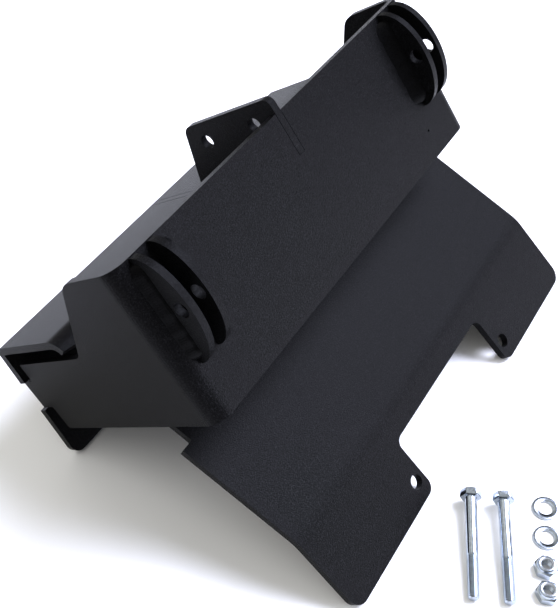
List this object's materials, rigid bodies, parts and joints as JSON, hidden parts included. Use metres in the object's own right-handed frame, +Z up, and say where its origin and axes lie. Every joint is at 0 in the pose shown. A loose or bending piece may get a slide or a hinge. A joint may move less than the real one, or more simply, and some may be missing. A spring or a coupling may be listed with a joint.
{
  "type": "snow plow mount bracket",
  "caption": "Black welded plate bracket that carries a snow plow: bent front plate with paired round ears, bent rear and skid sheet with bolt tabs, centre lug, loose zinc fixings.",
  "frame": {"origin": "centre of the bounding box on the floor the bracket and its loose fixings rest on", "axes": "+Z up, +X across the bracket to its right, -Y towards the front tabs; the bracket rests on its rear lip and its front tabs"},
  "size_m": [0.4284, 0.4744, 0.2768],
  "materials": {
    "powder_coat": "black fine-texture powder coat",
    "weld_bead": "powder coated weld seam",
    "zinc": "bright zinc plate",
    "nylon": "pale nylon"
  },
  "bodies": {
    "bracket": {"front_plate": "powder_coat", "mount_sheet": "powder_coat", "centre_gusset": "powder_coat", "clevis_ear_left_outer": "powder_coat", "weld_ear_left_outer": "weld_bead", "clevis_ear_left_inner": "powder_coat", "weld_ear_left_inner": "weld_bead", "clevis_ear_right_inner": "powder_coat", "weld_ear_right_inner": "weld_bead", "clevis_ear_right_outer": "powder_coat", "weld_ear_right_outer": "weld_bead", "weld_wing_skid_left": "weld_bead", "weld_wing_lip_left": "weld_bead", "weld_gusset_skid_left": "weld_bead", "weld_gusset_front_left": "weld_bead", "weld_wing_skid_right": "weld_bead", "weld_wing_lip_right": "weld_bead", "weld_gusset_skid_right": "weld_bead", "weld_gusset_front_right": "weld_bead"},
    "bolt_left": {"hex_bolt_left": "zinc"},
    "bolt_right": {"hex_bolt_right": "zinc"},
    "washer_upper": {"flat_washer_upper": "zinc"},
    "washer_lower": {"flat_washer_lower": "zinc"},
    "nut_upper": {"lock_nut_upper": "zinc", "nylon_ring_upper": "nylon"},
    "nut_lower": {"lock_nut_lower": "zinc", "nylon_ring_lower": "nylon"}
  },
  "joints": [
    {"name": "bolt_left_lift", "type": "slide", "parent": "bracket", "child": "bolt_left", "axis": [0, 0, 1], "range_m": [0, 0.15]},
    {"name": "bolt_right_lift", "type": "slide", "parent": "bracket", "child": "bolt_right", "axis": [0, 0, 1], "range_m": [0, 0.15]},
    {"name": "washer_upper_lift", "type": "slide", "parent": "bracket", "child": "washer_upper", "axis": [0, 0, 1], "range_m": [0, 0.15]},
    {"name": "washer_lower_lift", "type": "slide", "parent": "bracket", "child": "washer_lower", "axis": [0, 0, 1], "range_m": [0, 0.15]},
    {"name": "nut_upper_lift", "type": "slide", "parent": "bracket", "child": "nut_upper", "axis": [0, 0, 1], "range_m": [0, 0.15]},
    {"name": "nut_lower_lift", "type": "slide", "parent": "bracket", "child": "nut_lower", "axis": [0, 0, 1], "range_m": [0, 0.15]}
  ]
}
